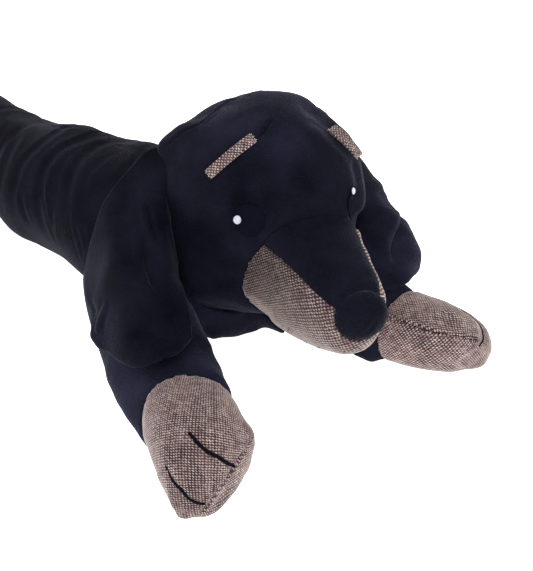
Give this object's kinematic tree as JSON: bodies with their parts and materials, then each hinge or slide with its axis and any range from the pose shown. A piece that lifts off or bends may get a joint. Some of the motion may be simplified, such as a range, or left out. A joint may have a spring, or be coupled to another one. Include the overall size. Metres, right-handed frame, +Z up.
{
  "type": "draught excluder in the form of a lying dachshund",
  "caption": "Long stuffed velour tube laid along the foot of a door to stop draughts, with a dachshund's head, hanging ears and front legs ending in tweed paws.",
  "frame": {"origin": "middle of the footprint, on the floor that the draught excluder lies on", "axes": "+X along the tube towards the head and paws, +Y to the dog's left, +Z up"},
  "size_m": [0.9505, 0.3284, 0.1702],
  "materials": {
    "velour": "short black velour pile, soft and matt, paler where the pile turns away",
    "tweed": "coarse plain weave of cream and dark brown threads, matt",
    "eye_cloth": "smooth black satin-stitched disc with a faint sheen",
    "white_felt": "white satin-stitched dot"
  },
  "bodies": {
    "root": {"body": "velour", "head": "velour", "bridge": "velour", "nose": "velour", "ear_right": "velour", "ear_left": "velour", "leg_right": "velour", "leg_left": "velour", "muzzle": "tweed", "paw_right": "tweed", "paw_left": "tweed", "brow_right": "tweed", "brow_left": "tweed", "eye_right": "eye_cloth", "eye_left": "eye_cloth", "glint_right": "white_felt", "glint_left": "white_felt"}
  },
  "joints": []
}
